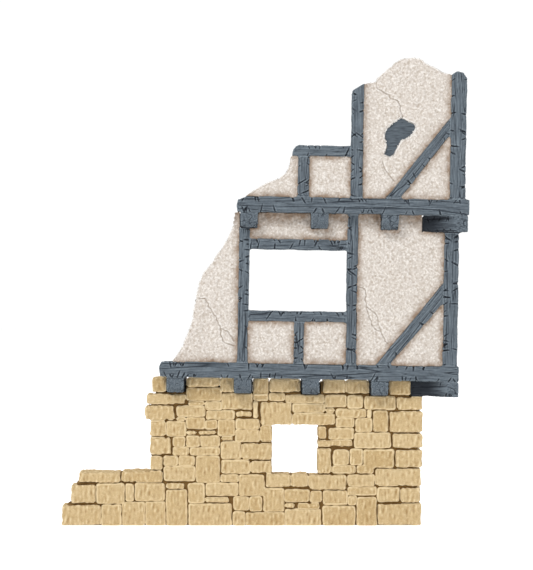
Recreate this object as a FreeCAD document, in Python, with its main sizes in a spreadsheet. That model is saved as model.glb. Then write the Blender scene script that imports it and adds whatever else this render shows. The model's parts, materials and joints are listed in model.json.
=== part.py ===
import FreeCAD, Part
import os

from FreeCAD import Placement, Rotation, Vector

# Corner of a ruined half-timbered house for a tabletop board, in millimetres.
# +X runs along the front wall to the right, +Y goes into the house, +Z is up.
# The origin is at the bottom centre of the whole piece.

DIMENSIONS = [
    # stone storey
    ("stone_face_y", -18.0),
    ("facing_depth", 2.5),
    ("core_depth", 6.0),
    ("stone_wear", 0.5),
    ("corner_x", 64.2),
    ("core_top", 51.8),
    ("return_end_y", 28.0),
    # timber frame, first floor
    ("lean_angle", 1.0),
    ("lean_pivot_x", -41.4),
    ("lean_pivot_z", 60.0),
    ("first_jetty", 6.0),
    ("second_jetty", 4.0),
    ("frame_depth", 6.5),
    ("timber_wear", 0.4),
    ("sill_height", 6.6),
    ("joist_height", 6.2),
    ("joist_width", 7.4),
    ("first_sill_left", -41.4),
    ("first_sill_right", 77.8),
    ("left_post_x", -10.9),
    ("middle_post_x", 32.4),
    ("corner_post_x", 71.0),
    ("slim_post_width", 4.6),
    ("corner_post_width", 6.3),
    ("window_sill_z", 82.9),
    ("window_head_z", 111.6),
    ("rail_height", 4.6),
    # timber frame, second floor
    ("second_sill_z", 126.3),
    ("second_sill_left", -11.8),
    ("second_sill_right", 80.4),
    ("upper_post_x", 33.0),
    ("upper_post_width", 5.2),
    ("upper_corner_x", 72.3),
    ("upper_corner_width", 6.7),
    ("upper_corner_top", 183.5),
    ("upper_rail_z", 148.7),
    # infill
    ("plaster_recess", 1.0),
    ("plaster_depth", 3.5),
    ("lath_pocket", 1.8),
    ("lath_depth", 1.2),
]

doc = FreeCAD.newDocument("TerrainRuin")
sheet = doc.addObject("Spreadsheet::Sheet", "Dims")
for row, (alias, value) in enumerate(DIMENSIONS, start=1):
    sheet.set(f"A{row}", alias)
    sheet.set(f"B{row}", str(value))
    sheet.setAlias(f"B{row}", alias)
doc.recompute()

NODES = []


def dim(alias):
    return float(sheet.get(alias))


STONE_Y = dim("stone_face_y")
WALL_DEPTH = 2 * dim("facing_depth") + dim("core_depth")
FIRST_Y = STONE_Y - dim("first_jetty")
SECOND_Y = FIRST_Y - dim("second_jetty")
FIRST_SILL = dim("lean_pivot_z")
FIRST_TOP = FIRST_SILL + dim("sill_height")
SECOND_SILL = dim("second_sill_z")
SECOND_TOP = SECOND_SILL + dim("sill_height")
JOIST = dim("joist_height")
FRAME = dim("frame_depth")


# ---------------------------------------------------------------- helpers

# Each plane draws an outline and pads it along its own positive axis.
PLANES = {
    "front": ("XZ_Plane", True, Vector(0, 1, 0)),
    "side": ("YZ_Plane", False, Vector(1, 0, 0)),
    "plan": ("XY_Plane", False, Vector(0, 0, 1)),
}


def lean():
    """The tilt that the whole timber frame has, about the left end of its sill."""
    pivot = Vector(dim("lean_pivot_x"), 0, dim("lean_pivot_z"))
    return Placement(Vector(0, 0, 0), Rotation(Vector(0, 1, 0), dim("lean_angle")), pivot)


def new_body(node, plane, offset, leaning):
    body = doc.addObject("PartDesign::Body", node)
    body.Label = node
    shift = Placement(PLANES[plane][2] * offset, Rotation())
    body.Placement = lean().multiply(shift) if leaning else shift
    NODES.append(body)
    return body


def rect(left, right, low, high):
    return [(left, low), (right, low), (right, high), (left, high)]


def draw(body, plane, outlines):
    """A sketch on one of the body's own origin planes, holding closed outlines."""
    role = PLANES[plane][0]
    sketch = body.newObject("Sketcher::SketchObject", body.Name + "_sketch")
    origin_plane = [f for f in body.Origin.OriginFeatures if f.Role == role][0]
    sketch.AttachmentSupport = [(origin_plane, "")]
    sketch.MapMode = "FlatFace"
    for outline in outlines:
        for start, end in zip(outline, outline[1:] + outline[:1]):
            sketch.addGeometry(Part.LineSegment(Vector(*start, 0), Vector(*end, 0)))
    return sketch


def pad(body, plane, outlines, depth):
    feature = body.newObject("PartDesign::Pad", body.Name + "_pad")
    feature.Profile = draw(body, plane, outlines)
    feature.Reversed = PLANES[plane][1]
    feature.setExpression("Length", depth)
    return feature


def pocket(body, plane, outlines, depth):
    """A pocket that cuts the same way as the pads grow."""
    feature = body.newObject("PartDesign::Pocket", body.Name + "_pocket")
    feature.Profile = draw(body, plane, outlines)
    feature.Reversed = not PLANES[plane][1]
    feature.setExpression("Length", depth)
    return feature


def wear(body, alias):
    """Worn arrises: every edge of the body takes a small chamfer."""
    base = body.Tip
    feature = body.newObject("PartDesign::Chamfer", body.Name + "_wear")
    feature.Base = (base, [""])
    feature.UseAllEdges = True
    feature.setExpression("Size", f"Dims.{alias}")
    return feature


def timber(node, plane, outline, offset, depth="Dims.frame_depth"):
    body = new_body(node, plane, offset, leaning=True)
    pad(body, plane, [outline], depth)
    wear(body, "timber_wear")
    return body


def plaster(node, outline, storey_y, hole=None):
    body = new_body(node, "front", storey_y + dim("plaster_recess"), leaning=True)
    pad(body, "front", [outline], "Dims.plaster_depth")
    if hole:
        pocket(body, "front", [hole], "Dims.lath_pocket")
    return body


def stones(node, facings, through=(), strips=(), strip_depth="Dims.facing_depth * 2 + Dims.core_depth"):
    """Squared stones of the front wall: thin facings, full-depth blocks and reveals."""
    body = new_body(node, "front", STONE_Y, leaning=False)
    if facings:
        pad(body, "front", [rect(*s) for s in facings], "Dims.facing_depth")
    if through:
        pad(body, "front", [rect(*s) for s in through], "Dims.facing_depth * 2 + Dims.core_depth")
    if strips:
        pad(body, "front", [rect(*s) for s in strips], strip_depth)
    wear(body, "stone_wear")
    return body


# ---------------------------------------------------------------- stone cores

FACING = dim("facing_depth")
CORNER = dim("corner_x")
WINDOW = (3.4, 21.6, 20.9, 40.0)

# Mortar beds, as (start, end), in the joints of the stones that run right through the wall.
LEFT_END_BEDS = [(28.0, 28.6), (35.4, 35.9), (42.0, 42.4), (48.2, 48.8)]
LEFT_JAMB_BEDS = [(20.7, 21.0), (26.0, 26.6), (33.1, 33.7), (40.0, 40.4)]
RIGHT_JAMB_BEDS = [(20.4, 21.0), (31.0, 31.6), (34.3, 34.9), (39.8, 40.4)]
LINTEL_BEDS = [(11.2, 11.6)]
SILL_BEDS = [(10.8, 11.2), (17.8, 18.2)]
HOLE_BOTTOM = 17.0
HOLE_TOP = 44.0


def window_hole():
    """The opening in the core, with its mortar beds between the stones that line it."""
    left = WINDOW[0] - FACING
    right = WINDOW[1] + FACING
    outline = [(left, HOLE_BOTTOM)]
    for low, high in LEFT_JAMB_BEDS:
        outline += [(left, low), (left + 2.1, low), (left + 2.1, high), (left, high)]
    outline.append((left, HOLE_TOP))
    for start, end in LINTEL_BEDS:
        outline += [(start, HOLE_TOP), (start, 40.9), (end, 40.9), (end, HOLE_TOP)]
    outline.append((right, HOLE_TOP))
    for low, high in reversed(RIGHT_JAMB_BEDS):
        outline += [(right, high), (right - 1.9, high), (right - 1.9, low), (right, low)]
    outline.append((right, HOLE_BOTTOM))
    for start, end in reversed(SILL_BEDS):
        outline += [(end, HOLE_BOTTOM), (end, 20.2), (start, 20.2), (start, HOLE_BOTTOM)]
    return outline


def wall_cores():
    """Plain rubble core of the front wall and of the return wall behind its right end."""
    top = dim("core_top")
    outline = [
        (-78.9, 0.0),
        (CORNER - FACING, 0.0),
        (CORNER - FACING, top),
        (58.6, top),
        (58.6, 57.5),
        (50.4, 57.5),
        (50.4, 52.0),
        (42.6, 52.0),
        (42.6, 57.5),
        (42.4, 57.5),
        (42.4, 52.9),
        (33.5, 52.9),
        (33.5, 57.5),
        (33.1, 57.5),
        (33.1, 52.9),
        (23.8, 52.9),
        (23.8, 57.5),
        (23.1, 57.5),
        (23.1, 52.5),
        (15.1, 52.5),
        (15.1, 57.5),
        (14.8, 57.5),
        (14.8, 53.5),
        (2.4, 53.5),
        (2.4, 57.5),
        (1.8, 57.5),
        (1.8, 52.3),
        (-4.0, 52.3),
        (-4.0, 57.5),
        (-4.2, 57.5),
        (-4.2, 53.0),
        (-12.0, 53.0),
        (-12.0, 53.5),
        (-17.8, 53.5),
        (-17.8, 55.7),
        (-31.0, 55.7),
        (-31.0, 57.5),
        (-31.2, 57.5),
        (-31.2, 53.5),
        (-43.3, 53.5),
    ]
    for low, high in reversed(LEFT_END_BEDS):
        outline += [(-43.3, high), (-45.2, high), (-45.2, low), (-43.3, low)]
    outline += [
        (-43.3, 22.5),
        (-45.2, 22.5),
        (-45.2, 22.0),
        (-40.6, 22.0),
        (-40.6, 17.3),
        (-57.2, 17.3),
        (-57.2, 21.0),
        (-57.8, 21.0),
        (-57.8, 17.3),
        (-75.1, 17.3),
        (-75.1, 8.9),
        (-77.2, 8.9),
        (-77.2, 8.5),
        (-78.9, 8.5),
    ]
    front = new_body("wall_core_front", "front", STONE_Y + FACING, leaning=False)
    pad(front, "front", [outline], "Dims.core_depth")
    pocket(front, "front", [window_hole()], "Dims.core_depth")

    start = STONE_Y + FACING + dim("core_depth")
    end = dim("return_end_y") - FACING
    stepped = [
        (start, 0.0),
        (end, 0.0),
        (end, 16.2),
        (end - 8.5, 16.2),
        (end - 8.5, 34.6),
        (end - 15.0, 34.6),
        (end - 15.0, top),
        (start, top),
    ]
    inner = CORNER - FACING - dim("core_depth")
    side = new_body("wall_core_return", "side", inner, leaning=False)
    pad(side, "side", [stepped], "Dims.core_depth")


# ---------------------------------------------------------------- front stones

# Every stone is (left, right, bottom, top).
FOOT_COURSE = [
    (-81.4, -65.6, 0.0, 8.2),
    (-65.2, -57.4, 0.0, 8.2),
    (-56.8, -48.0, 0.0, 9.2),
    (-47.4, -39.6, 0.0, 9.4),
    (-39.0, -31.0, 0.0, 14.2),
    (-30.0, -13.0, 0.0, 8.6),
    (-12.2, -7.4, 0.0, 5.4),
    (-7.0, 8.4, 0.0, 5.0),
    (8.8, 23.0, 0.0, 6.4),
    (24.0, 36.8, 0.0, 7.6),
    (37.8, 45.4, 0.0, 11.2),
]
SECOND_COURSE = [
    (-77.6, -67.6, 8.9, 16.5),
    (-67.0, -56.2, 9.0, 16.7),
    (-55.4, -52.4, 9.8, 16.7),
    (-51.6, -40.0, 10.0, 16.9),
    (-39.2, -31.6, 14.8, 17.2),
    (-30.2, -24.0, 9.2, 16.8),
    (-23.6, -13.8, 9.2, 11.4),
    (-23.0, -10.4, 12.0, 17.0),
    (-12.0, -6.0, 6.2, 11.4),
    (-5.4, -0.8, 5.8, 11.4),
    (-9.6, 0.2, 12.0, 20.2),
    (0.2, 8.2, 5.6, 14.8),
    (8.6, 18.4, 9.6, 14.2),
    (8.6, 12.6, 7.0, 9.0),
    (13.4, 22.8, 6.8, 9.0),
    (19.0, 23.4, 9.4, 13.8),
    (24.2, 33.8, 8.4, 13.8),
    (34.2, 37.4, 8.2, 11.8),
]
MIDDLE_COURSES = [
    (-40.0, -27.6, 18.0, 23.6),
    (-27.0, -17.8, 17.4, 27.8),
    (-17.2, -10.0, 17.6, 20.4),
    (-40.0, -34.6, 24.2, 27.8),
    (-34.0, -27.8, 24.0, 27.8),
    (-16.8, -5.6, 21.0, 26.2),
    (34.0, 44.6, 15.8, 20.2),
    (34.0, 45.4, 12.2, 15.4),
    (46.0, 54.6, 9.6, 15.2),
    (27.8, 37.0, 21.0, 24.0),
    (37.8, 44.2, 21.0, 24.0),
    (28.2, 34.2, 24.4, 30.2),
    (35.0, 39.8, 24.4, 30.6),
    (40.6, 52.4, 23.4, 30.4),
    (-36.4, -31.8, 31.8, 35.4),
    (-36.4, -30.2, 28.4, 31.4),
    (-29.4, -17.8, 28.4, 31.4),
    (-17.0, -9.2, 26.8, 33.6),
    (-31.0, -25.8, 31.8, 36.0),
    (-25.4, -17.8, 31.8, 36.0),
    (-17.2, -12.0, 34.2, 35.8),
    (-31.0, -26.8, 36.6, 38.2),
    (-26.2, -18.8, 36.6, 38.2),
    (-39.0, -31.4, 36.0, 41.8),
    (-31.0, -23.8, 39.0, 43.4),
    (-23.4, -18.8, 38.8, 42.2),
    (-18.2, -11.6, 36.2, 42.4),
    (-11.0, -1.8, 38.8, 42.6),
    (-11.2, -1.8, 33.8, 38.4),
    (26.4, 36.2, 34.8, 39.0),
    (36.8, 51.0, 31.2, 37.2),
]
UPPER_COURSES = [
    (-34.8, -23.6, 44.0, 48.0),
    (-35.4, -31.0, 42.2, 43.6),
    (-23.0, -11.8, 42.8, 46.0),
    (-11.0, -4.8, 43.6, 46.0),
    (-4.2, -1.8, 43.4, 49.8),
    (11.8, 24.6, 45.6, 49.0),
    (24.8, 28.8, 45.6, 47.2),
    (29.4, 41.2, 43.6, 46.6),
    (41.8, 44.2, 43.4, 46.4),
    (29.4, 36.4, 39.6, 43.2),
    (37.2, 43.6, 37.8, 43.0),
    (44.4, 50.0, 37.8, 46.0),
    (-31.0, -17.0, 50.4, 55.2),
    (-30.6, -23.6, 48.4, 50.0),
    (-23.4, -16.8, 46.6, 49.8),
    (-16.6, -4.6, 46.8, 53.0),
    (2.4, 8.4, 50.2, 53.0),
    (9.0, 24.6, 49.4, 52.4),
    (25.0, 33.4, 47.8, 52.4),
    (34.0, 39.8, 47.2, 52.2),
    (40.8, 53.0, 46.8, 51.9),
    (-4.0, 1.8, 50.2, 59.2),
    (50.8, 59.0, 52.8, 58.2),
]

# Full-depth blocks that close the top of the low wall and sit between the joists.
COPING = [(-74.6, -57.8, 17.3, 21.6), (-57.2, -40.6, 17.4, 22.0)]
JOIST_STOPS = [
    (-45.0, -39.3, 53.6, 59.9),
    (-31.0, -17.8, 55.8, 59.5),
    (-17.4, -12.0, 53.6, 59.4),
    (-4.0, 1.8, 52.4, 59.2),
    (2.4, 14.8, 53.6, 58.9),
    (23.8, 33.1, 53.2, 58.6),
    (33.5, 42.4, 53.0, 58.4),
]

# Stones that turn the left end of the tall wall, bottom to top.
LEFT_END = [
    (-45.8, -40.6, 22.5, 28.0),
    (-45.8, -37.2, 28.6, 35.4),
    (-45.8, -39.4, 35.9, 42.0),
    (-47.9, -35.8, 42.4, 48.2),
    (-47.2, -31.4, 48.8, 53.0),
]

# Corner stones, which wrap round to the return wall.
QUOINS = [
    (46.0, 63.6, 0.0, 8.8),
    (55.2, 63.2, 9.4, 15.1),
    (45.0, 63.6, 15.8, 22.8),
    (53.1, 64.0, 23.4, 30.4),
    (51.8, 64.2, 31.1, 36.9),
    (50.8, 64.2, 37.5, 45.9),
    (53.6, 64.2, 46.5, 51.8),
]

LEFT_JAMB = [(-1.4, 3.6, 33.7, 40.0), (-8.8, 3.5, 26.6, 33.1), (-5.2, 3.4, 21.0, 26.0)]
RIGHT_JAMB = [(21.8, 25.6, 34.9, 39.8), (21.8, 36.0, 31.6, 34.3), (21.6, 27.4, 21.0, 31.0)]
LINTEL = [(-1.2, 11.2, 40.4, 49.6), (11.6, 28.8, 40.4, 45.2)]
SILL = [(0.9, 10.8, 15.4, 20.7), (11.2, 17.8, 15.4, 20.8), (18.2, 33.4, 14.4, 20.4)]


def ends(blocks, side):
    """The strip of each block that runs through the whole wall at its exposed end."""
    if side == "left":
        return [(left, left + FACING, low, high) for left, right, low, high in blocks]
    return [(right - FACING, right, low, high) for left, right, low, high in blocks]


def front_wall():
    stones("front_stones_foot", FOOT_COURSE, strips=ends(FOOT_COURSE[:1], "left"))
    stones("front_stones_second", SECOND_COURSE, strips=ends(SECOND_COURSE[:1], "left"))
    stones("front_stones_middle", MIDDLE_COURSES)
    stones("front_stones_upper", UPPER_COURSES)
    stones("low_wall_coping", [], through=COPING)
    stones("joist_stop_stones", [], through=JOIST_STOPS)
    stones("left_end_stones", LEFT_END, strips=ends(LEFT_END, "left"))
    long_legs = ends(QUOINS[0::2], "right")
    short_legs = ends(QUOINS[1::2], "right")
    corner = new_body("corner_quoins", "front", STONE_Y, leaning=False)
    pad(corner, "front", [rect(*s) for s in QUOINS], "Dims.facing_depth")
    pad(corner, "front", [rect(*s) for s in long_legs], "Dims.facing_depth * 5")
    pad(corner, "front", [rect(*s) for s in short_legs], "Dims.facing_depth * 3")
    wear(corner, "stone_wear")


def window_surround():
    reveals = ends(LEFT_JAMB, "right") + ends(RIGHT_JAMB, "left")
    stones("window_jamb_stones", LEFT_JAMB + RIGHT_JAMB, strips=reveals)
    left, right, _, _ = WINDOW
    soffits = [
        (max(start, left - FACING), min(end, right + FACING), base, HOLE_TOP)
        for start, end, base, _ in LINTEL
    ]
    stones("window_lintel_stones", LINTEL, strips=soffits)
    ledges = [(start, min(end, right + FACING), HOLE_BOTTOM, top) for start, end, _, top in SILL]
    stones("window_sill_stones", SILL, strips=ledges)


# ---------------------------------------------------------------- coursed faces

COURSE_HEIGHTS = [8.2, 7.6, 4.8, 6.0, 6.2, 5.4, 5.8, 4.2]
STONE_LENGTHS = [13.0, 8.5, 15.5, 10.0, 7.0, 12.0, 9.5]
JOINT = 0.5


def course(start, end, low, high, number):
    """Stones of varied length between two ends; a short remainder joins the last one."""
    blocks = []
    place = start
    turn = number * 3
    while place < end - 0.01:
        length = STONE_LENGTHS[turn % len(STONE_LENGTHS)]
        stop = place + length
        if end - stop < 5.0:
            stop = end
        blocks.append((place, stop, low, high))
        place = stop + JOINT
        turn += 1
    return blocks


def coursed(spans_at):
    """Courses from the ground up; spans_at gives the stretches of wall at one course."""
    blocks = []
    low = 0.0
    for number, height in enumerate(COURSE_HEIGHTS):
        for start, end in spans_at(number):
            blocks += course(start, end, low, low + height, number)
        low += height + JOINT
    return blocks


def inner_spans(number):
    """The room side of the front wall, open at the window."""
    lefts = [-78.6, -74.8, -40.2, -43.0, -43.0, -43.0, -43.0, -43.0]
    inside = CORNER - WALL_DEPTH
    if number in (3, 4, 5, 6):
        return [(lefts[number], WINDOW[0] - FACING - 0.4), (WINDOW[1] + FACING + 0.4, inside)]
    if number == 2:
        return [(lefts[number], 0.4), (WINDOW[1] + FACING + 0.4, inside)]
    return [(lefts[number], inside)]


def return_spans(number):
    """One face of the return wall, which steps down towards its broken end."""
    end = dim("return_end_y")
    steps = [end] * 2 + [end - 8.5] * 3 + [end - 15.0] * 3
    return [(STONE_Y + WALL_DEPTH + 0.4, steps[number] - FACING - 0.4)]


def outer_return_spans(number):
    start = STONE_Y + FACING * (5 if number % 2 == 0 else 3) + 0.4
    return [(start, return_spans(number)[0][1])]


def faced(node, plane, offset, blocks):
    body = new_body(node, plane, offset, leaning=False)
    pad(body, plane, [rect(*s) for s in blocks], "Dims.facing_depth")
    wear(body, "stone_wear")


def inner_and_return_faces():
    inner_y = STONE_Y + FACING + dim("core_depth")
    faced("inner_stones", "front", inner_y, coursed(inner_spans))
    faced("return_outer_stones", "side", CORNER - FACING, return_face_outer())
    faced("return_inner_stones", "side", CORNER - WALL_DEPTH, coursed(return_spans))
    end_blocks = []
    low = 0.0
    for number, height in enumerate(COURSE_HEIGHTS):
        edge = return_spans(number)[0][1] + 0.4
        end_blocks.append((edge, edge + FACING, low, low + height))
        low += height + JOINT
    for start in (STONE_Y + WALL_DEPTH + 0.4, STONE_Y + 21.0):
        end_blocks.append((start, start + 3.2, low, low + 5.8))
    body = new_body("return_end_stones", "side", CORNER - WALL_DEPTH, leaning=False)
    pad(body, "side", [rect(*s) for s in end_blocks], "Dims.facing_depth * 2 + Dims.core_depth")
    wear(body, "stone_wear")


def return_face_outer():
    """The street side of the return wall keeps to the heights of the corner quoins."""
    blocks = []
    for number, (left, right, low, high) in enumerate(QUOINS):
        start, end = outer_return_spans(number)[0]
        blocks += course(start, end, low, high, number)
    return blocks


# ---------------------------------------------------------------- timber frame


def joist(node, left, top, front, back, width="Dims.joist_width"):
    """A joist that runs into the house; the lower half of its end is cut back."""
    low = top - JOIST
    profile = [
        (front, top),
        (front, top - JOIST * 0.45),
        (front + 1.9, low),
        (back, low),
        (back, top),
    ]
    body = new_body(node, "side", left, leaning=True)
    pad(body, "side", [profile], width)
    wear(body, "timber_wear")


def first_floor_beams():
    left = dim("first_sill_left")
    right = dim("first_sill_right")
    ragged = [
        (left + 0.3, FIRST_SILL),
        (right, FIRST_SILL),
        (right, FIRST_TOP),
        (left + 0.8, FIRST_TOP),
        (left - 0.4, FIRST_SILL + 4.2),
        (left, FIRST_SILL + 1.6),
    ]
    timber("first_sill_front", "front", ragged, FIRST_Y)
    for number, start in enumerate((-38.9, -11.9, 15.3, 42.8), start=1):
        joist(f"first_joist_{number}", start, FIRST_SILL, FIRST_Y + 0.2, STONE_Y + 18.0)
    corner = [
        (73.0, FIRST_Y),
        (right, FIRST_Y),
        (right, FIRST_Y + 3.5),
        (61.5, STONE_Y + 4.7),
        (59.5, STONE_Y + 4.7),
        (59.5, STONE_Y + 0.1),
    ]
    timber("first_dragon_beam", "plan", corner, FIRST_SILL - JOIST, "Dims.joist_height")


def first_floor_posts():
    slim = dim("slim_post_width")
    left = dim("left_post_x")
    middle = dim("middle_post_x")
    corner = dim("corner_post_x")
    under_joist = SECOND_SILL - JOIST
    timber("first_post_left", "front", rect(left, left + slim, FIRST_TOP, under_joist), FIRST_Y)
    timber("first_post_middle", "front", rect(middle, middle + slim, FIRST_TOP, SECOND_SILL), FIRST_Y)
    wide = corner + dim("corner_post_width")
    timber("first_post_corner", "front", rect(corner, wide, FIRST_TOP, under_joist - 0.5), FIRST_Y)
    rail = dim("rail_height")
    sill = dim("window_sill_z")
    head = dim("window_head_z")
    timber("window_sill_rail", "front", rect(left + slim, middle, sill, sill + rail), FIRST_Y)
    timber("window_head_rail", "front", rect(left + slim, middle, head, head + rail), FIRST_Y)
    timber("window_stud", "front", rect(11.7, 16.1, FIRST_TOP, sill), FIRST_Y)
    brace = [(44.5, FIRST_TOP), (50.5, FIRST_TOP), (corner, 91.2), (corner, 99.7)]
    timber("first_brace", "front", brace, FIRST_Y)


SMALL_BAY_JOIST = -10.5
SECOND_JOISTS = (17.5, 45.5)


def second_floor_beams():
    left = dim("second_sill_left")
    right = dim("second_sill_right")
    ragged = [
        (left + 0.4, SECOND_SILL),
        (right, SECOND_SILL),
        (right, SECOND_TOP),
        (left + 3.6, SECOND_TOP),
        (left + 0.6, SECOND_TOP - 1.4),
        (left, SECOND_SILL + 2.6),
    ]
    timber("second_sill_front", "front", ragged, SECOND_Y)
    for number, start in enumerate((SMALL_BAY_JOIST, *SECOND_JOISTS), start=1):
        joist(f"second_joist_{number}", start, SECOND_SILL, SECOND_Y + 0.2, FIRST_Y + 14.0)
    corner = [
        (74.8, SECOND_Y),
        (80.0, SECOND_Y),
        (80.0, SECOND_Y + 4.0),
        (65.2, SECOND_Y + 11.0),
        (62.6, SECOND_Y + 11.0),
        (62.6, SECOND_Y + 5.0),
    ]
    timber("second_dragon_beam", "plan", corner, SECOND_SILL - JOIST - 0.5, "Dims.joist_height + 0.5")


def second_floor_posts():
    middle = dim("upper_post_x")
    wide = middle + dim("upper_post_width")
    corner = dim("upper_corner_x")
    far = corner + dim("upper_corner_width")
    top = dim("upper_corner_top")
    snapped = [(middle, SECOND_TOP), (wide, SECOND_TOP), (wide, 178.2), (middle, 175.0)]
    timber("second_post_middle", "front", snapped, SECOND_Y)
    rounded = [
        (corner, SECOND_TOP),
        (far, SECOND_TOP),
        (far, top - 2.4),
        (far - 2.0, top - 0.4),
        (corner + 2.4, top),
        (corner, top - 1.6),
    ]
    timber("second_post_corner", "front", rounded, SECOND_Y)
    rail = dim("upper_rail_z")
    broken = [(9.9, rail), (middle, rail), (middle, rail + 4.7), (12.0, rail + 4.7), (10.2, rail + 2.6)]
    timber("second_rail", "front", broken, SECOND_Y)
    timber("second_stud", "front", rect(12.0, 17.0, SECOND_TOP, rail), SECOND_Y)
    brace = [(47.1, SECOND_TOP), (53.3, SECOND_TOP), (corner, 157.9), (corner, 165.4)]
    timber("second_brace", "front", brace, SECOND_Y)


def side_frames():
    """The frame round the corner, over the return wall, broken off behind."""
    inner = dim("corner_post_x")
    wide = "Dims.corner_post_width"
    back = FIRST_Y + FRAME
    timber("first_sill_side", "side", rect(back, back + 36.0, FIRST_SILL, FIRST_TOP), inner + 0.5, wide)
    outlines = [
        rect(start, start + 5.6, FIRST_SILL - JOIST, FIRST_SILL)
        for start in (STONE_Y + 15.0, STONE_Y + 24.5)
    ]
    joists = new_body("first_side_joists", "side", 53.2, leaning=True)
    pad(joists, "side", outlines, "Dims.first_sill_right - 53.5")
    wear(joists, "timber_wear")
    snapped = [
        (back + 24.0, FIRST_TOP),
        (back + 29.5, FIRST_TOP),
        (back + 29.5, 92.0),
        (back + 27.4, 94.5),
        (back + 24.0, 90.5),
    ]
    timber("first_post_side", "side", snapped, inner, wide)
    rise = [(back, 99.5), (back, 91.5), (back + 19.0, FIRST_TOP), (back + 24.0, FIRST_TOP), (back + 24.0, 68.5)]
    timber("first_brace_side", "side", rise, inner, wide)
    upper = dim("upper_corner_x")
    start = SECOND_Y + FRAME
    timber(
        "second_sill_side",
        "side",
        rect(start, start + 21.0, SECOND_SILL, SECOND_TOP),
        upper + 1.2,
        "Dims.upper_corner_width",
    )
    outline = rect(62.0, dim("second_sill_right") - 0.4, SECOND_SILL - JOIST, SECOND_SILL)
    timber("second_side_joist", "front", outline, start + 12.5, "Dims.joist_width * 0.75")


# ---------------------------------------------------------------- plaster infill


def first_floor_plaster():
    post = dim("left_post_x")
    slim = dim("slim_post_width")
    middle = dim("middle_post_x")
    corner = dim("corner_post_x")
    sill = dim("window_sill_z")
    head = dim("window_head_z") + dim("rail_height")
    torn = [
        (post, FIRST_TOP),
        (post, SECOND_SILL),
        (-12.6, SECOND_SILL),
        (-13.6, 119.9),
        (-16.0, 114.9),
        (-21.8, 106.0),
        (-24.9, 101.9),
        (-26.7, 97.5),
        (-28.3, 88.2),
        (-29.0, 82.6),
        (-32.8, 72.6),
        (-36.4, FIRST_TOP),
    ]
    plaster("first_plaster_left", torn, FIRST_Y)
    low = FIRST_TOP
    plaster("first_plaster_below_window_left", rect(post + slim, 11.7, low, sill), FIRST_Y)
    plaster("first_plaster_below_window_right", rect(16.1, middle, low, sill), FIRST_Y)
    notch = SECOND_SILL - JOIST
    width = dim("joist_width")
    above = [
        (post + slim, head),
        (middle, head),
        (middle, SECOND_SILL),
        (SECOND_JOISTS[0] + width, SECOND_SILL),
        (SECOND_JOISTS[0] + width, notch),
        (SECOND_JOISTS[0], notch),
        (SECOND_JOISTS[0], SECOND_SILL),
        (SMALL_BAY_JOIST + width, SECOND_SILL),
        (SMALL_BAY_JOIST + width, notch),
        (post + slim, notch),
    ]
    plaster("first_plaster_above_window", above, FIRST_Y)
    bay = [
        (middle + slim, low),
        (44.5, low),
        (corner, 99.7),
        (corner, notch - 0.5),
        (62.0, notch - 0.5),
        (62.0, SECOND_SILL),
        (SECOND_JOISTS[1] + width, SECOND_SILL),
        (SECOND_JOISTS[1] + width, notch),
        (SECOND_JOISTS[1], notch),
        (SECOND_JOISTS[1], SECOND_SILL),
        (middle + slim, SECOND_SILL),
    ]
    plaster("first_plaster_over_brace", bay, FIRST_Y)
    plaster("first_plaster_under_brace", [(50.5, low), (corner, low), (corner, 91.2)], FIRST_Y)


LATH_PATCH = [
    (53.0, 164.9),
    (55.2, 163.7),
    (58.4, 162.2),
    (58.5, 160.0),
    (56.3, 157.3),
    (53.0, 155.7),
    (51.8, 153.5),
    (50.1, 150.2),
    (48.7, 149.2),
    (46.3, 150.2),
    (47.4, 153.0),
    (46.3, 158.0),
    (47.3, 160.4),
    (50.2, 163.2),
]


def second_floor_plaster():
    rail = dim("upper_rail_z")
    torn = [
        (12.0, SECOND_TOP),
        (12.0, rail),
        (9.3, rail),
        (8.7, 145.7),
        (7.4, 142.5),
        (5.2, 140.4),
        (1.2, 138.8),
        (-4.3, 135.9),
        (-8.0, SECOND_TOP),
    ]
    plaster("second_plaster_left", torn, SECOND_Y)
    post = dim("upper_post_x")
    plaster("second_plaster_bay", rect(17.0, post, SECOND_TOP, rail), SECOND_Y)
    wide = post + dim("upper_post_width")
    corner = dim("upper_corner_x")
    broken_top = [
        (wide, SECOND_TOP),
        (47.1, SECOND_TOP),
        (corner, 165.4),
        (corner, 182.1),
        (67.3, 184.3),
        (62.4, 186.7),
        (60.8, 188.2),
        (56.8, 189.0),
        (54.0, 188.9),
        (50.0, 187.0),
        (46.5, 183.8),
        (42.9, 180.5),
        (42.3, 179.1),
        (wide, 178.0),
    ]
    plaster("second_plaster_over_brace", broken_top, SECOND_Y, hole=LATH_PATCH)
    under = [(53.3, SECOND_TOP), (corner, SECOND_TOP), (corner, 157.9)]
    plaster("second_plaster_under_brace", under, SECOND_Y)
    depth = dim("plaster_recess") + dim("lath_pocket") - dim("lath_depth")
    patch = new_body("exposed_lath", "front", SECOND_Y + depth, leaning=True)
    pad(patch, "front", [LATH_PATCH], "Dims.lath_depth")


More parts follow.
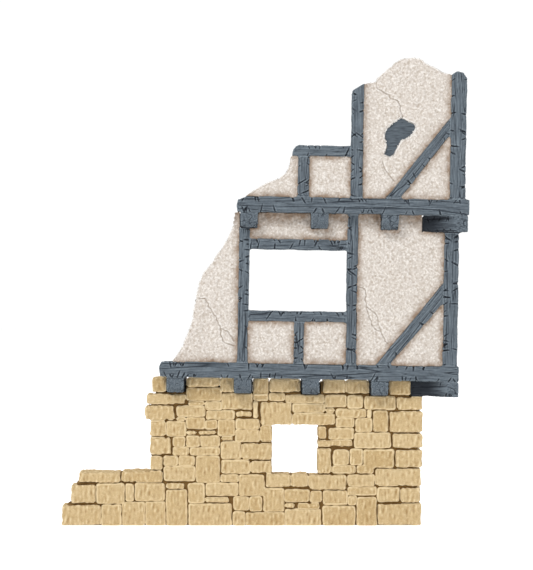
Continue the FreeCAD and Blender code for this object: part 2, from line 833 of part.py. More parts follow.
def side_plaster():
    back = FIRST_Y + FRAME
    inset = dim("corner_post_width") - dim("plaster_recess") - dim("plaster_depth")
    lower = [
        (back, 99.5),
        (back + 24.0, 68.5),
        (back + 24.0, 84.0),
        (back + 20.5, 87.0),
        (back + 18.0, 94.5),
        (back + 13.5, 99.0),
        (back + 11.0, 107.5),
        (back + 5.5, 112.0),
        (back + 2.5, 119.0),
        (back, 119.4),
    ]
    body = new_body("first_plaster_side", "side", dim("corner_post_x") + inset, leaning=True)
    pad(body, "side", [lower], "Dims.plaster_depth")
    triangle = [(back, FIRST_TOP), (back + 19.0, FIRST_TOP), (back, 91.5)]
    body = new_body("first_plaster_side_foot", "side", dim("corner_post_x") + inset, leaning=True)
    pad(body, "side", [triangle], "Dims.plaster_depth")
    start = SECOND_Y + FRAME
    upper = [
        (start, SECOND_TOP),
        (start + 17.0, SECOND_TOP),
        (start + 15.0, 137.5),
        (start + 11.0, 141.0),
        (start + 9.5, 150.0),
        (start + 6.0, 156.0),
        (start + 5.0, 166.0),
        (start + 1.8, 172.0),
        (start, 173.0),
    ]
    inset = dim("upper_corner_width") - dim("plaster_recess") - dim("plaster_depth")
    body = new_body("second_plaster_side", "side", dim("upper_corner_x") + inset, leaning=True)
    pad(body, "side", [upper], "Dims.plaster_depth")


# ---------------------------------------------------------------- build, check, write

wall_cores()
front_wall()
window_surround()
inner_and_return_faces()
first_floor_beams()
first_floor_posts()
second_floor_beams()
second_floor_posts()
side_frames()
first_floor_plaster()
second_floor_plaster()
side_plaster()
doc.recompute()

for item in doc.Objects:
    if {"Invalid", "Error"} & set(item.State):
        raise RuntimeError(f"{item.Label}: {item.State}")
for body in NODES:
    if body.Shape.isNull() or not body.Shape.isValid():
        raise RuntimeError(f"{body.Label} has no valid shape")

os.makedirs("parts", exist_ok=True)
for body in NODES:
    body.Shape.exportStep(f"parts/{body.Label}.step")
print(len(NODES), "nodes")
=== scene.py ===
import itertools
import json
import math
import random

import bmesh
import bpy
import numpy as np
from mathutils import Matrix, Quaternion, Vector
from mathutils.bvhtree import BVHTree


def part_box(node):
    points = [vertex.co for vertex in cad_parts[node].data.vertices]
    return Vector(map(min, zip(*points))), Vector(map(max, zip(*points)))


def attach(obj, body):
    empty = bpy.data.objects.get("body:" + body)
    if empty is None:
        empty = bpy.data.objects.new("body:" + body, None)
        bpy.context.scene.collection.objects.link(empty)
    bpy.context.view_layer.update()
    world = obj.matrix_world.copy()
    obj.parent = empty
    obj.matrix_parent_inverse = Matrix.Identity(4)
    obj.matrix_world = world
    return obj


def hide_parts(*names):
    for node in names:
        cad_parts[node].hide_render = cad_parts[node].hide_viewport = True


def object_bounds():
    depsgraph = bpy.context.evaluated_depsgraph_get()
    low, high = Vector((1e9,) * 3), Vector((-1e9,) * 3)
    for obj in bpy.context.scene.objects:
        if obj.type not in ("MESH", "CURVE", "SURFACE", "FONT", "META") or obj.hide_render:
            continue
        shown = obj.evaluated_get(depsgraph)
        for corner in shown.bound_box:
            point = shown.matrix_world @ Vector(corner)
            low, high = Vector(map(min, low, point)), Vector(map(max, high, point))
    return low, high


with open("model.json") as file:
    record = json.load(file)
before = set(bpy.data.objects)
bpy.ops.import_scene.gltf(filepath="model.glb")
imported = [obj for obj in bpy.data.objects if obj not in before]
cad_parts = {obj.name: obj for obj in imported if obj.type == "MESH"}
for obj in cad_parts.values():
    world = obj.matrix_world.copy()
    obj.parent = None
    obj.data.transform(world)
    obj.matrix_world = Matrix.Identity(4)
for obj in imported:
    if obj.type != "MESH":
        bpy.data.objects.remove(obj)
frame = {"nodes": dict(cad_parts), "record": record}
CAD_BOX = [list(corner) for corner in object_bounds()]

# Shapes are worked in millimetres and handed to Blender in metres.
MM = 0.001
SCENE = bpy.context.scene
SLOTS = {part["node"]: part["material_slot"] for part in frame["record"]["subparts"]}
LOWEST = np.array(CAD_BOX[0]) / MM
HIGHEST = np.array(CAD_BOX[1]) / MM
# Spacing of the dense meshes, in millimetres.
VOXEL = {"sandstone": 0.38, "timber": 0.28, "plaster": 0.33, "lath": 0.28, "mortar": 0.36}


# ---------------------------------------------------------------- noise


def lattice(cells, seed):
    """A repeatable value from 0 to 1 for each whole-numbered cell."""
    x, y, z = cells.T
    n = (x * 374761393 + y * 668265263 + z * 1442695041 + seed * 974711) & 0xFFFFFFFF
    n = ((n ^ (n >> 13)) * 1274126177) & 0xFFFFFFFF
    n = ((n ^ (n >> 15)) * 2246822519) & 0xFFFFFFFF
    return ((n ^ (n >> 16)) & 0xFFFF) / 65535.0


# A turn about a slanting axis, so that the noise's cells line up with no wall or timber.
NOISE_TURN = np.array(Quaternion((0.62, 0.37, 0.69), 0.83).to_matrix())


def noise(points, size, seed=0):
    """Smooth value noise from -1 to 1, with features about size millimetres across."""
    q = points @ NOISE_TURN / size
    cells = np.floor(q).astype(np.int64)
    f = q - cells
    f = f * f * (3 - 2 * f)
    total = np.zeros(len(points))
    for corner in itertools.product((0, 1), repeat=3):
        share = np.prod(np.where(np.array(corner) == 1, f, 1 - f), axis=1)
        total += share * lattice(cells + np.array(corner), seed)
    return total * 2 - 1


def crease(values, sharpness):
    """1 along the lines where a noise changes sign, falling away quickly."""
    return np.clip(1 - np.abs(values), 0, 1) ** sharpness


# ---------------------------------------------------------------- dense solids


class Solid:
    """One closed piece as a dense mesh, with its points in millimetres."""

    def __init__(self, mesh, node, number):
        self.mesh = mesh
        self.node = node
        self.seed = sum(map(ord, node)) * 7 + number * 131
        self.random = random.Random(self.seed)
        count = len(mesh.vertices)
        self.points = np.empty(count * 3)
        mesh.vertices.foreach_get("co", self.points)
        self.points = self.points.reshape(-1, 3)
        self.edges = np.empty(len(mesh.edges) * 2, np.int64)
        mesh.edges.foreach_get("vertices", self.edges)
        self.edges = self.edges.reshape(-1, 2)
        ends = self.edges.ravel()
        self.valence = np.maximum(np.bincount(ends, minlength=count), 1)[:, None]
        self.centre = (self.points.min(0) + self.points.max(0)) / 2
        self.size = np.ptp(self.points, axis=0)
        self.layers = {}

    def normals(self):
        """Outward normals of the surface as it now stands."""
        self.mesh.vertices.foreach_set("co", self.points.ravel())
        self.mesh.update()
        out = np.empty(len(self.points) * 3)
        self.mesh.vertex_normals.foreach_get("vector", out)
        return out.reshape(-1, 3)

    def neighbours_mean(self, values):
        """Mean over each point's neighbours of a value held at the points."""
        a, b = self.edges.T
        out = np.empty_like(values)
        for k in range(values.shape[1]):
            column = values[:, k]
            out[:, k] = np.bincount(a, column[b], len(values))
            out[:, k] += np.bincount(b, column[a], len(values))
        return out / self.valence

    def smooth(self, times):
        """Eases each point towards the mean of its neighbours."""
        for _ in range(times):
            self.points += 0.5 * (self.neighbours_mean(self.points) - self.points)

    def convexity(self):
        """Positive on ridges and arrises, negative in grooves."""
        offset = self.points - self.neighbours_mean(self.points)
        return np.einsum("ij,ij->i", offset, self.normals())

    def long_axis(self):
        """Direction in which the piece is longest."""
        spread = np.cov((self.points - self.points.mean(0)).T)
        return np.linalg.eigh(spread)[1][:, -1]

    def spread(self, values, times):
        """Lets a value at the points run out over the surface around it."""
        for _ in range(times):
            values = 0.5 * values + 0.5 * self.neighbours_mean(values[:, None])[:, 0]
        return values

    def press(self, depth):
        """Moves the surface inwards by a depth at each point."""
        self.points -= self.normals() * depth[:, None]


def split_solids(node):
    """The closed pieces of a CAD node, as lists of points in millimetres and faces."""
    bm = bmesh.new()
    bm.from_mesh(frame["nodes"][node].data)
    bmesh.ops.remove_doubles(bm, verts=bm.verts, dist=1e-6)
    pieces = []
    seen = set()
    for start in bm.verts:
        if start in seen:
            continue
        seen.add(start)
        island = [start]
        for vert in island:
            for edge in vert.link_edges:
                other = edge.other_vert(vert)
                if other not in seen:
                    seen.add(other)
                    island.append(other)
        place = {vert: n for n, vert in enumerate(island)}
        faces = {face for vert in island for face in vert.link_faces}
        points = [vert.co / MM for vert in island]
        pieces.append((points, sorted([place[v] for v in face.verts] for face in faces)))
    bm.free()
    return pieces


def dense_solids(nodes):
    """Every piece of these nodes as a dense, even mesh ready to be carved."""
    waiting = []
    for node in nodes:
        for number, (points, faces) in enumerate(split_solids(node)):
            mesh = bpy.data.meshes.new("solid")
            mesh.from_pydata(points, [], faces)
            holder = bpy.data.objects.new("solid", mesh)
            SCENE.collection.objects.link(holder)
            dense = holder.modifiers.new("dense", "REMESH")
            dense.mode = "VOXEL"
            dense.voxel_size = VOXEL[SLOTS[node]]
            waiting.append((node, number, holder))
    graph = bpy.context.evaluated_depsgraph_get()
    solids = []
    for node, number, holder in waiting:
        result = bpy.data.meshes.new_from_object(holder.evaluated_get(graph))
        solids.append(Solid(result, node, number))
    for _, _, holder in waiting:
        mesh = holder.data
        bpy.data.objects.remove(holder)
        bpy.data.meshes.remove(mesh)
    return solids


def join_solids(node, solids, material):
    """One shown piece for a CAD node, from all of its carved solids."""
    points = []
    corners = []
    starts = []
    layers = {}
    point_count = 0
    corner_count = 0
    for solid in solids:
        mesh = solid.mesh
        loop = np.empty(len(mesh.loops), np.int32)
        mesh.loops.foreach_get("vertex_index", loop)
        first = np.empty(len(mesh.polygons), np.int32)
        mesh.polygons.foreach_get("loop_start", first)
        points.append(np.clip(solid.points, LOWEST, HIGHEST))
        corners.append(loop + point_count)
        starts.append(first + corner_count)
        point_count += len(solid.points)
        corner_count += len(loop)
        for name, values in solid.layers.items():
            layers.setdefault(name, []).append(values)
    points = np.concatenate(points) * MM
    corners = np.concatenate(corners)
    starts = np.concatenate(starts)
    mesh = bpy.data.meshes.new(node + "_visual")
    mesh.vertices.add(len(points))
    mesh.vertices.foreach_set("co", points.ravel())
    mesh.loops.add(len(corners))
    mesh.loops.foreach_set("vertex_index", corners.astype(np.int32))
    mesh.polygons.add(len(starts))
    mesh.polygons.foreach_set("loop_start", starts.astype(np.int32))
    mesh.update(calc_edges=True)
    mesh.validate()
    mesh.polygons.foreach_set("use_smooth", np.ones(len(mesh.polygons), bool))
    for name, values in layers.items():
        values = np.concatenate(values).astype(np.float32)
        if values.ndim == 2:
            layer = mesh.attributes.new(name, "FLOAT_VECTOR", "POINT")
            layer.data.foreach_set("vector", values.ravel())
        else:
            layer = mesh.attributes.new(name, "FLOAT", "POINT")
            layer.data.foreach_set("value", values)
    mesh.materials.append(material)
    piece = bpy.data.objects.new(node + "_piece", mesh)
    SCENE.collection.objects.link(piece)
    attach(piece, "root")
    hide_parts(node)
    for solid in solids:
        bpy.data.meshes.remove(solid.mesh)


def relief_layers(solid, gain):
    """Where dry-brushed paint catches and where the wash settles."""
    bend = solid.convexity()[:, None]
    bend = 0.5 * bend + 0.5 * solid.neighbours_mean(bend)
    solid.layers["edge"] = np.clip(bend[:, 0] * gain, 0, 1)
    solid.layers["hollow"] = np.clip(-bend[:, 0] * gain, 0, 1)
    solid.layers["tone"] = np.full(len(solid.points), solid.random.random())


# ---------------------------------------------------------------- neighbours

# Solids closer together than this, in millimetres, are kept tight against each other.
TOUCH_REACH = 0.7
# How far out from a surface a search for a neighbour starts, before and after carving.
UNCARVED_LIFT = 0.12
CARVED_LIFT = 0.02
# Gaps between stones narrower than this, in millimetres, hold the brown wash.
JOINT_REACH = 2.2
# How far a search for a touching solid looks.
SEARCH_LENGTH = 60.0


def gap_ahead(tree, start, way, reach):
    """Distance from a point to the next solid ahead, passing out of its own solid first."""
    gone = 0.0
    while gone < reach:
        place, normal, _, step = tree.ray_cast(start, way, reach - gone)
        if place is None:
            return reach
        gone += step
        if normal.dot(way) < 0:
            return gone
        start = place + way * 0.01
    return reach


def touching(solid, tree):
    """1 where an uncarved solid lies against another, so that the joint stays tight."""
    normal = solid.normals()
    close = np.zeros(len(normal))
    starts = solid.points + normal * UNCARVED_LIFT
    for n, (place, way) in enumerate(zip(starts, normal)):
        _, facing, _, gap = tree.ray_cast(Vector(place), Vector(way), SEARCH_LENGTH)
        if facing is None:
            continue
        # Leaving a solid straight away means that the point already lies within a neighbour.
        close[n] = 1 if facing.dot(Vector(way)) > 0 else 1.6 * (1 - gap / TOUCH_REACH)
    return solid.spread(np.clip(close, 0, 1), 1)


# ---------------------------------------------------------------- carving


def carve_timber(solid, tree):
    """Grain, checks, knife cuts and worn arrises on one adzed timber, and painted shade
    towards the back of joists and dragon beams.
    """
    axis = solid.long_axis()
    along = (solid.points - solid.centre) @ axis
    across = solid.points - solid.centre - along[:, None] * axis
    length = np.ptp(along)
    fibre = across + axis * (along * 0.06)[:, None] + solid.random.uniform(0, 90)
    end_grain = np.abs(solid.normals() @ axis) > 0.75
    tight = touching(solid, tree)
    solid.smooth(1)
    depth = 0.20 + 0.20 * noise(solid.points, 4.2, solid.seed)
    grain = crease(noise(fibre, 0.7, solid.seed + 1), 5)
    check = crease(noise(fibre * 0.7, 1.3, solid.seed + 2), 16)
    depth += 0.20 * grain + 0.40 * check
    depth += 0.08 * noise(solid.points, 0.8, solid.seed + 3)
    arris = np.clip(solid.convexity() * 12, 0, 1)
    depth += arris * (0.05 + 0.6 * np.clip(noise(solid.points, 1.9, solid.seed + 4), 0, 1))
    depth[end_grain] = depth[end_grain] * 0.5 - 0.2
    swell = np.where(end_grain, 0.4, 0.15)
    solid.press(np.clip(depth, -0.2, 0.95) * (1 - tight) - swell * tight)
    cuts = cut_timber(solid, axis, along, across, length, 1 - tight)
    relief_layers(solid, 13)
    grooves = np.maximum.reduce([grain * 0.5, check * 0.9, cuts])
    solid.layers["hollow"] = np.clip(solid.layers["hollow"] * 0.6 + grooves, 0, 1)
    solid.layers["fibre"] = fibre
    # Painted shade: joists and dragon beams turn darker the further they run back under the
    # sill.
    back = solid.points[:, 1] - solid.points[:, 1].min()
    painted_shade = np.zeros(len(solid.points))
    if "joist" in solid.node:
        painted_shade = np.clip((back - 0.9) / 4.0, 0, 1)
    if "dragon" in solid.node:
        painted_shade = np.clip((back - 0.3) / 3.2, 0, 1) ** 0.7
    solid.layers["painted_shade"] = painted_shade


# One blade cut for each of these millimetres of a timber's length.
CUT_SPACING = 1.1


def cut_timber(solid, axis, along, across, length, loose):
    """Short blade cuts into the arrises, at uneven spacing; returns where they are."""
    reach = np.linalg.norm(across, axis=1).max()
    outward = np.array((0.0, 1.0, 0.0)) if abs(axis[1]) < 0.7 else np.array((1.0, 0.0, 0.0))
    sideways = np.cross(axis, outward)
    cuts = np.zeros(len(along))
    for _ in range(int(length / CUT_SPACING) + 4):
        place = solid.random.uniform(-0.5, 0.5) * length
        side = outward * solid.random.choice((-1, 1))
        side = side + sideways * solid.random.choice((-1, 1)) * solid.random.uniform(0.3, 1.3)
        side /= np.linalg.norm(side)
        width = solid.random.uniform(0.25, 0.5)
        slant = solid.random.uniform(-0.7, 0.7)
        deep = solid.random.uniform(0.5, 1.0)
        start = solid.random.uniform(0.62, 0.8)
        lean = along - place + slant * (across @ np.cross(axis, side))
        near = np.clip(1.2 - np.abs(lean) / width, 0, 1)
        high = np.clip((across @ side - reach * start) / (reach * 0.2), 0, 1)
        cut = near * high
        solid.points -= side * (deep * cut * loose)[:, None]
        cuts = np.maximum(cuts, cut)
    return cuts


# A stone thinner than this, in millimetres, is a facing stone with only its front showing.
FACING_LIMIT = 2.8
# Facing stones in front of this plane, in millimetres, face forwards.
FRONT_LIMIT = -14


def carve_stone(solid, tree):
    """A roughly dressed stone, close against the next, chipped and with its own set-back."""
    thin = int(np.argmin(solid.size))
    facing = solid.size[thin] < FACING_LIMIT and thin != 2
    normal = solid.normals()
    face = np.abs(normal[:, thin]) if facing else 1 - touching(solid, tree)
    tool = solid.points @ np.array(((0.9, 0.2, 0.3), (0.2, 0.9, 0.3), (-0.12, -0.12, 0.35)))
    depth = 0.26 + 0.2 * noise(solid.points, 3.2, solid.seed)
    depth += 0.17 * noise(solid.points, 1.6, solid.seed + 1)
    depth += 0.24 * noise(tool, 0.85, solid.seed + 4)
    arris = np.clip(solid.convexity() * 8, 0, 1)
    chip = np.clip(noise(solid.points, 1.8, solid.seed + 2), 0, 1)
    ragged = 0.3 - 0.24 * noise(solid.points, 1.7, solid.seed + 3)
    depth = depth * face - ragged * (1 - face) + arris * 0.55 * chip
    solid.press(np.clip(depth, -0.5, 0.85))
    if facing:
        outward = -1 if thin == 1 and solid.centre[1] < FRONT_LIMIT else 1
        if solid.node == "return_inner_stones":
            outward = -1
        solid.points[:, thin] -= outward * solid.random.uniform(0, 0.45)
    relief_layers(solid, 13)


def torn_share(solid, timbers):
    """Distance to the nearest timber, and 1 where that is so far that an edge is a break."""
    find = timbers.find_nearest
    furthest = 30.0
    far = np.array([find(Vector(p), furthest)[3] or furthest for p in solid.points])
    return far, np.clip((far - 1.2) / 1.6, 0, 1)


def polyline_distance(points, line):
    """Distance in the wall's plane from each point to a crack's path."""
    flat = points[:, (0, 2)]
    best = np.full(len(points), 1e9)
    for start, end in zip(line, line[1:]):
        a = np.array(start)
        ab = np.array(end) - a
        share = np.clip((flat - a) @ ab / (ab @ ab), 0, 1)
        best = np.minimum(best, np.linalg.norm(flat - a - share[:, None] * ab, axis=1))
    return best


# Paths of the cracks in the front panels, as (x, z) in millimetres.
CRACKS = {
    "first_plaster_left": [
        [
            (-25.6, 91.6),
            (-23, 91.2),
            (-22, 87.6),
            (-19.4, 84.6),
            (-17, 79.2),
            (-16.6, 76),
            (-15.4, 73.6),
            (-12, 72.4),
        ],
        [(-17, 79.2), (-14.4, 78), (-11.4, 74.8)],
    ],
    "first_plaster_over_brace": [
        [(38.2, 96.4), (40.6, 94.4), (41, 88.4), (43, 82.4), (43.8, 79.6), (47, 78.4)],
        [(41.4, 88.4), (45, 84.8), (46.2, 81.2), (47.8, 75.6), (49.8, 73.2)],
    ],
    "second_plaster_over_brace": [
        [(44.4, 177.6), (45.4, 174.8), (49.8, 172), (53, 170), (53.8, 168.4), (55.2, 163.2)],
        [(47.4, 146), (49, 142), (51.8, 137.6)],
    ],
}


# The second-floor sill rises to the left at this angle, in degrees.
SILL_SLOPE = 1
# The darker band under that sill fades out over this height, in millimetres.
DARK_BAND_HEIGHT = 7.0


def below_second_floor(points):
    """1 just under the second-floor sill, fading out below it."""
    low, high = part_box("second_sill_front")
    drop = (high.x / MM - points[:, 0]) * math.tan(math.radians(SILL_SLOPE))
    gap = low.z / MM + drop - points[:, 2]
    return np.clip(1 - gap / DARK_BAND_HEIGHT, 0, 1) * (gap > -0.5)


# The most that plaster is cut back, and how far a crack reaches from its path, in millimetres.
DEEPEST_TEAR = 2.4
CRACK_REACH = 0.38


def carve_plaster(solid, timbers, tree):
    """Stippled render with hairline cracks, and ragged where it has broken away."""
    far, torn = torn_share(solid, timbers)
    tight = touching(solid, tree)
    solid.smooth(1)
    normal = solid.normals()
    wall = 1 if solid.size[1] < 4 or solid.size[0] > 10 else 0
    rim = np.clip(1 - np.abs(normal[:, wall]) * 1.3, 0, 1)
    rim = np.maximum(rim, solid.spread(rim, 1))
    lip = np.clip(solid.spread(rim, 9) * 2.2, 0, 1) * torn
    depth = 0.22 + 0.12 * noise(solid.points, 6.0, solid.seed)
    depth += 0.22 * noise(solid.points, 1.4, solid.seed + 1)
    depth += 0.22 * noise(solid.points, 0.8, solid.seed + 2)
    depth += lip * (0.35 + 0.6 * noise(solid.points, 1.7, solid.seed + 6))
    depth *= 1 - rim
    ragged = 0.9 + 1.2 * noise(solid.points, 2.6, solid.seed + 3)
    ragged += 0.9 * noise(solid.points, 1.1, solid.seed + 4)
    depth += rim * torn * np.clip(ragged, 0, DEEPEST_TEAR)
    crack = np.zeros(len(solid.points))
    for line in CRACKS.get(solid.node, []):
        wander = solid.points + 0.5 * noise(solid.points, 1.6, 77)[:, None]
        near = 1 - polyline_distance(wander, line) / CRACK_REACH
        crack = np.maximum(crack, np.clip(near, 0, 1))
    crack *= normal[:, 1] < -0.5
    depth += crack * 0.6
    solid.press(np.clip(depth, 0, DEEPEST_TEAR) * (1 - tight) - 0.6 * tight)
    relief_layers(solid, 12)
    solid.layers["edge"] *= np.clip(far - 0.6, 0, 1)
    solid.layers["hollow"] = np.clip(solid.layers["hollow"] + 0.55 * crack, 0, 1)
    blotch = 1.0 + 0.5 * noise(solid.points, 2.2, 5) + 0.3 * noise(solid.points, 0.8, 6)
    # Darker tan close to the timbers, and on the first floor in a band under the second-floor
    # sill.
    darkening = 0.85 * np.exp(-far / 1.5)
    if solid.node.startswith("first_plaster"):
        darkening = np.maximum(darkening, 0.9 * below_second_floor(solid.points))
    solid.layers["tan_darkening"] = np.clip(darkening * blotch, 0, 1)
    solid.layers["rim"] = np.clip(lip + rim * torn, 0, 1)


def carve_lath(solid):
    """Horizontal split laths, with a dark gap between each and the next, and painted shade
    over them all.
    """
    rows = solid.points[:, 2] + 0.25 * noise(solid.points, 5.0, 3)
    lath_spacing = 1.9
    gap = crease(np.sin(rows * math.pi / lath_spacing), 12)
    grain = crease(noise(solid.points * np.array((0.12, 1, 1)), 0.5, 4), 6)
    solid.press(np.clip(0.05 + 0.35 * gap + 0.18 * grain, 0, 0.6))
    relief_layers(solid, 10)
    solid.layers["hollow"] = np.clip(0.7 * gap + 0.5 * grain, 0, 1)
    solid.layers["fibre"] = solid.points * np.array((0.1, 1, 1))
    # Painted shade, laid evenly over the laths where they lie recessed behind the plaster.
    solid.layers["painted_shade"] = np.full(len(solid.points), 0.3)


def carve_mortar(solid):
    """Rough mortar that fills the joints to about 1.5 mm behind the stones' faces."""
    thin = int(np.argmin(solid.size))
    normal = solid.normals()
    swell = np.clip(np.abs(normal[:, thin]) * 1.5 - 0.5, 0, 1) * 0.7
    solid.points += normal * (0.32 + 0.12 * noise(solid.points, 1.5, 9))[:, None]
    solid.points[:, thin] += np.sign(normal[:, thin]) * swell
    relief_layers(solid, 6)


# ---------------------------------------------------------------- paint


def srgb(red, green, blue):
    """Linear colour from the usual 0 to 255 values."""
    out = [((c / 255 + 0.055) / 1.055) ** 2.4 for c in (red, green, blue)]
    return (*out, 1.0)


class Paint:
    """A small procedural material: layers of colour laid over one another."""

    def __init__(self, name, base, roughness):
        self.material = bpy.data.materials.new(name)
        self.material.use_nodes = True
        self.nodes = self.material.node_tree.nodes
        self.links = self.material.node_tree.links
        self.shader = self.nodes["Principled BSDF"]
        self.shader.inputs["Roughness"].default_value = roughness
        self.shader.inputs["Specular IOR Level"].default_value = 0.25
        self.where = self.nodes.new("ShaderNodeNewGeometry").outputs["Position"]
        start = self.nodes.new("ShaderNodeRGB")
        start.outputs[0].default_value = base
        self.colour = start.outputs[0]

    def layer(self, name, kind="Fac"):
        node = self.nodes.new("ShaderNodeAttribute")
        node.attribute_name = name
        return node.outputs[kind]

    def speckle(self, size, detail=3.0, where=None):
        """Noise with features about size millimetres across; where is in millimetres too."""
        node = self.nodes.new("ShaderNodeTexNoise")
        node.inputs["Scale"].default_value = 1 / (size * MM) if where is None else 1 / size
        node.inputs["Detail"].default_value = detail
        self.links.new(where or self.where, node.inputs["Vector"])
        return node.outputs["Fac"]

    def shaped(self, value, low, high, top=1.0):
        """Turns a value into a share, 0 at low and top at high."""
        node = self.nodes.new("ShaderNodeMapRange")
        self.links.new(value, node.inputs["Value"])
        node.inputs["From Min"].default_value = low
        node.inputs["From Max"].default_value = high
        node.inputs["To Max"].default_value = top
        return node.outputs["Result"]

    def over(self, share, colour):
        """Lays a colour over what is there, by a share from 0 to 1."""
        node = self.nodes.new("ShaderNodeMix")
        node.data_type = "RGBA"
        self.links.new(share, node.inputs["Factor"])
        self.links.new(self.colour, node.inputs["A"])
        node.inputs["B"].default_value = colour
        self.colour = node.outputs["Result"]

    def bump(self, value, depth):
        node = self.nodes.new("ShaderNodeBump")
        node.inputs["Strength"].default_value = 1.0
        node.inputs["Distance"].default_value = depth * MM
        self.links.new(value, node.inputs["Height"])
        self.links.new(node.outputs["Normal"], self.shader.inputs["Normal"])

    def done(self):
        self.links.new(self.colour, self.shader.inputs["Base Color"])
        return self.material


def stone_paint():
    """Ochre stone, lighter on its dry-brushed arrises and brown in the joints."""
    paint = Paint("sandstone_paint", srgb(191, 167, 126), 0.9)
    tone = paint.layer("tone")
    paint.over(paint.shaped(tone, 0.55, 1.0, 0.4), srgb(203, 182, 144))
    paint.over(paint.shaped(tone, 0.35, 0.0, 0.6), srgb(176, 148, 102))
    paint.over(paint.shaped(paint.speckle(3.0), 0.5, 0.7, 0.35), srgb(182, 154, 106))
    paint.over(paint.shaped(paint.speckle(0.8), 0.5, 0.7, 0.45), srgb(172, 144, 98))
    paint.over(paint.shaped(paint.speckle(0.6), 0.54, 0.7, 0.45), srgb(220, 200, 160))
    paint.over(paint.shaped(paint.layer("hollow"), 0.08, 0.7, 0.85), srgb(146, 116, 70))
    paint.over(paint.shaped(paint.layer("joint"), 0.35, 1.0, 0.85), srgb(134, 106, 62))
    paint.over(paint.shaped(paint.layer("edge"), 0.1, 0.7, 0.8), srgb(226, 207, 168))
    paint.bump(paint.speckle(0.6, 5.0), 0.25)
    return paint.done()


def timber_paint():
    """Blue-grey weathered wood with dark checks and pale worn arrises, and painted shade laid
    over the joists, dragon beams and laths.
    """
    paint = Paint("timber_paint", srgb(88, 97, 105), 0.82)
    fine = paint.speckle(0.36, 2.0, where=paint.layer("fibre", "Vector"))
    broad = paint.speckle(1.1, 2.0, where=paint.layer("fibre", "Vector"))
    paint.over(paint.shaped(paint.layer("tone"), 0.4, 1.0, 0.3), srgb(96, 106, 114))
    paint.over(paint.shaped(broad, 0.5, 0.75, 0.4), srgb(74, 83, 91))
    paint.over(paint.shaped(fine, 0.5, 0.7, 0.65), srgb(118, 129, 137))
    paint.over(paint.shaped(fine, 0.48, 0.3, 0.7), srgb(60, 68, 76))
    paint.over(paint.shaped(paint.speckle(3.0), 0.5, 0.75, 0.4), srgb(74, 80, 85))
    paint.over(paint.shaped(paint.layer("edge"), 0.12, 0.8, 0.55), srgb(130, 141, 149))
    paint.over(paint.shaped(paint.layer("hollow"), 0.2, 0.9, 0.92), srgb(36, 42, 50))
    # Painted shade, near black, over the backs of joists and dragon beams and over the laths.
    paint.over(paint.shaped(paint.layer("painted_shade"), 0.0, 1.0, 0.9), srgb(24, 28, 35))
    paint.bump(fine, 0.16)
    return paint.done()


def plaster_paint():
    """Off-white render, darker tan beside the timbers and under the second-floor sill, and
    bright where it broke.
    """
    paint = Paint("plaster_paint", srgb(198, 190, 182), 0.92)
    paint.over(paint.shaped(paint.speckle(7.0), 0.45, 0.7, 0.4), srgb(190, 180, 170))
    paint.over(paint.shaped(paint.speckle(1.0), 0.48, 0.66, 0.7), srgb(172, 160, 147))
    paint.over(paint.shaped(paint.speckle(0.7), 0.5, 0.66, 0.8), srgb(228, 223, 217))
    paint.over(paint.shaped(paint.layer("hollow"), 0.1, 0.9, 0.6), srgb(150, 135, 119))
    paint.over(paint.shaped(paint.layer("edge"), 0.12, 0.7, 0.8), srgb(228, 224, 219))
    # Darker tan beside the timbers and in a band under the second-floor sill.
    paint.over(paint.shaped(paint.layer("tan_darkening"), 0.1, 0.95, 0.85), srgb(130, 106, 84))
    paint.over(paint.shaped(paint.layer("rim"), 0.3, 0.9, 0.6), srgb(232, 229, 224))
    paint.bump(paint.speckle(0.7, 5.0), 0.3)
    return paint.done()


def mortar_paint():
    """Dark brown mortar, a little paler where it stands proud."""
    paint = Paint("mortar_paint", srgb(104, 78, 42), 0.95)
    paint.over(paint.shaped(paint.speckle(2.0), 0.4, 0.7, 0.5), srgb(128, 100, 60))
    paint.over(paint.shaped(paint.layer("edge"), 0.2, 0.8, 0.4), srgb(160, 134, 92))
    paint.bump(paint.speckle(0.8, 5.0), 0.15)
    return paint.done()


# ---------------------------------------------------------------- pieces


def nodes_of(slot):
    return sorted(node for node in SLOTS if SLOTS[node] == slot)


def cad_tree(nodes):
    """A search tree over the plain CAD shapes of some nodes, in millimetres."""
    points = []
    faces = []
    for node in nodes:
        mesh = frame["nodes"][node].data
        start = len(points)
        points += [v.co / MM for v in mesh.vertices]
        faces += [[start + n for n in face.vertices] for face in mesh.polygons]
    return BVHTree.FromPolygons(points, faces)


def joint_layer(solid, tree):
    """1 deep in the joint between two stones, where the brown wash has settled."""
    normal = solid.normals()
    starts = solid.points + normal * CARVED_LIFT
    gaps = [gap_ahead(tree, Vector(p), Vector(n), JOINT_REACH) for p, n in zip(starts, normal)]
    depth = 1 - np.array(gaps) / JOINT_REACH
    solid.layers["joint"] = np.clip(solid.spread(depth, 1) * 1.2, 0, 1)


def build_group(nodes, carve, material):
    """Carves every solid of these nodes and shows one piece for each node."""
    by_node = {node: [] for node in nodes}
    for solid in dense_solids(nodes):
        carve(solid)
        by_node[solid.node].append(solid)
    for node, solids in by_node.items():
        join_solids(node, solids, material)


def build_pieces():
    timbers = cad_tree(nodes_of("timber"))
    everything = cad_tree(sorted(SLOTS))
    wood = timber_paint()

    def stone(solid):
        carve_stone(solid, everything)
        joint_layer(solid, everything)

    def beam(solid):
        carve_timber(solid, everything)

    def panel(solid):
        carve_plaster(solid, timbers, everything)

    build_group(nodes_of("sandstone"), stone, stone_paint())
    build_group(nodes_of("timber"), beam, wood)
    build_group(nodes_of("plaster"), panel, plaster_paint())
    build_group(nodes_of("lath"), carve_lath, wood)
    build_group(nodes_of("mortar"), carve_mortar, mortar_paint())


# ---------------------------------------------------------------- studio


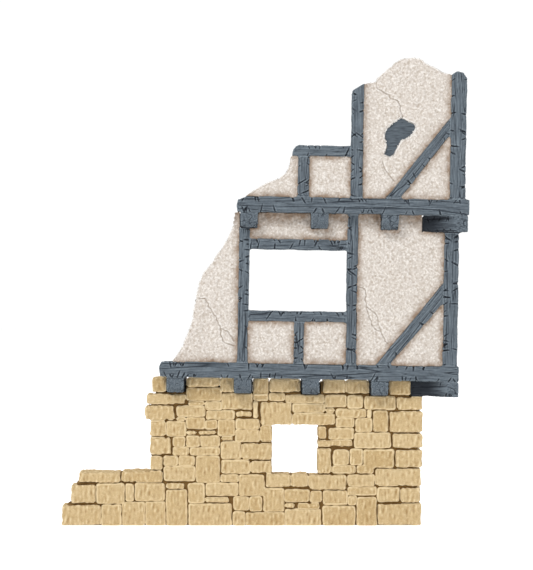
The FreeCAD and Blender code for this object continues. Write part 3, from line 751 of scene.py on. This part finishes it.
def area_light(name, place, target, size, watts):
    data = bpy.data.lights.new(name, "AREA")
    data.shape = "DISK"
    data.size = size
    data.energy = watts
    lamp = bpy.data.objects.new(name, data)
    lamp.location = place
    lamp.rotation_euler = (Vector(target) - Vector(place)).to_track_quat("-Z", "Y").to_euler()
    SCENE.collection.objects.link(lamp)


# Strength of the white surroundings as a light on the object, and as the camera sees them.
WORLD_LIGHT = 0.55
WORLD_SEEN = 1.05


def pale_world():
    """White behind the object, and softer than white as a light."""
    world = bpy.data.worlds.new("studio")
    world.use_nodes = True
    nodes = world.node_tree.nodes
    links = world.node_tree.links
    seen = nodes.new("ShaderNodeLightPath").outputs["Is Camera Ray"]
    strength = nodes.new("ShaderNodeMapRange")
    links.new(seen, strength.inputs["Value"])
    strength.inputs["To Min"].default_value = WORLD_LIGHT
    strength.inputs["To Max"].default_value = WORLD_SEEN
    background = nodes["Background"]
    background.inputs["Color"].default_value = (1, 1, 1, 1)
    links.new(strength.outputs["Result"], background.inputs["Strength"])
    SCENE.world = world


def pale_floor():
    """White board with a little light of its own, so that it meets the white behind it."""
    half = 3.0
    corners = [(-half, -half, 0), (half, -half, 0), (half, half, 0), (-half, half, 0)]
    mesh = bpy.data.meshes.new("floor")
    mesh.from_pydata(corners, [], [(0, 1, 2, 3)])
    floor = bpy.data.objects.new("floor", mesh)
    SCENE.collection.objects.link(floor)
    paint = bpy.data.materials.new("floor_paint")
    paint.use_nodes = True
    shader = paint.node_tree.nodes["Principled BSDF"]
    shader.inputs["Base Color"].default_value = (0.9, 0.9, 0.9, 1)
    shader.inputs["Roughness"].default_value = 0.9
    shader.inputs["Emission Color"].default_value = (1, 1, 1, 1)
    shader.inputs["Emission Strength"].default_value = 0.5
    mesh.materials.append(paint)


# The view is level, and frames this width, in metres, at the front of the wall.
VIEW_WIDTH = 0.2132
VIEW_DISTANCE = 0.65
WALL_FRONT = -0.0215


def front_camera():
    data = bpy.data.cameras.new("camera")
    data.sensor_width = 36.0
    data.sensor_fit = "HORIZONTAL"
    data.lens = data.sensor_width * VIEW_DISTANCE / VIEW_WIDTH
    camera = bpy.data.objects.new("camera", data)
    camera.location = (0.0012, WALL_FRONT - VIEW_DISTANCE, 0.0968)
    camera.rotation_euler = (math.pi / 2, 0, 0)
    SCENE.collection.objects.link(camera)
    SCENE.camera = camera


def studio():
    """Pale floor, soft light from high on the left, and a level view of the front."""
    pale_floor()
    middle = (0.0, 0.0, 0.09)
    area_light("key", (-0.45, -0.7, 0.95), middle, 0.4, 7.5)
    area_light("fill", (0.7, -0.9, 0.35), middle, 0.8, 1.5)
    area_light("back", (0.3, 0.9, 0.9), middle, 0.8, 5.0)
    pale_world()
    SCENE.view_settings.view_transform = "Standard"
    front_camera()


studio()
build_pieces()
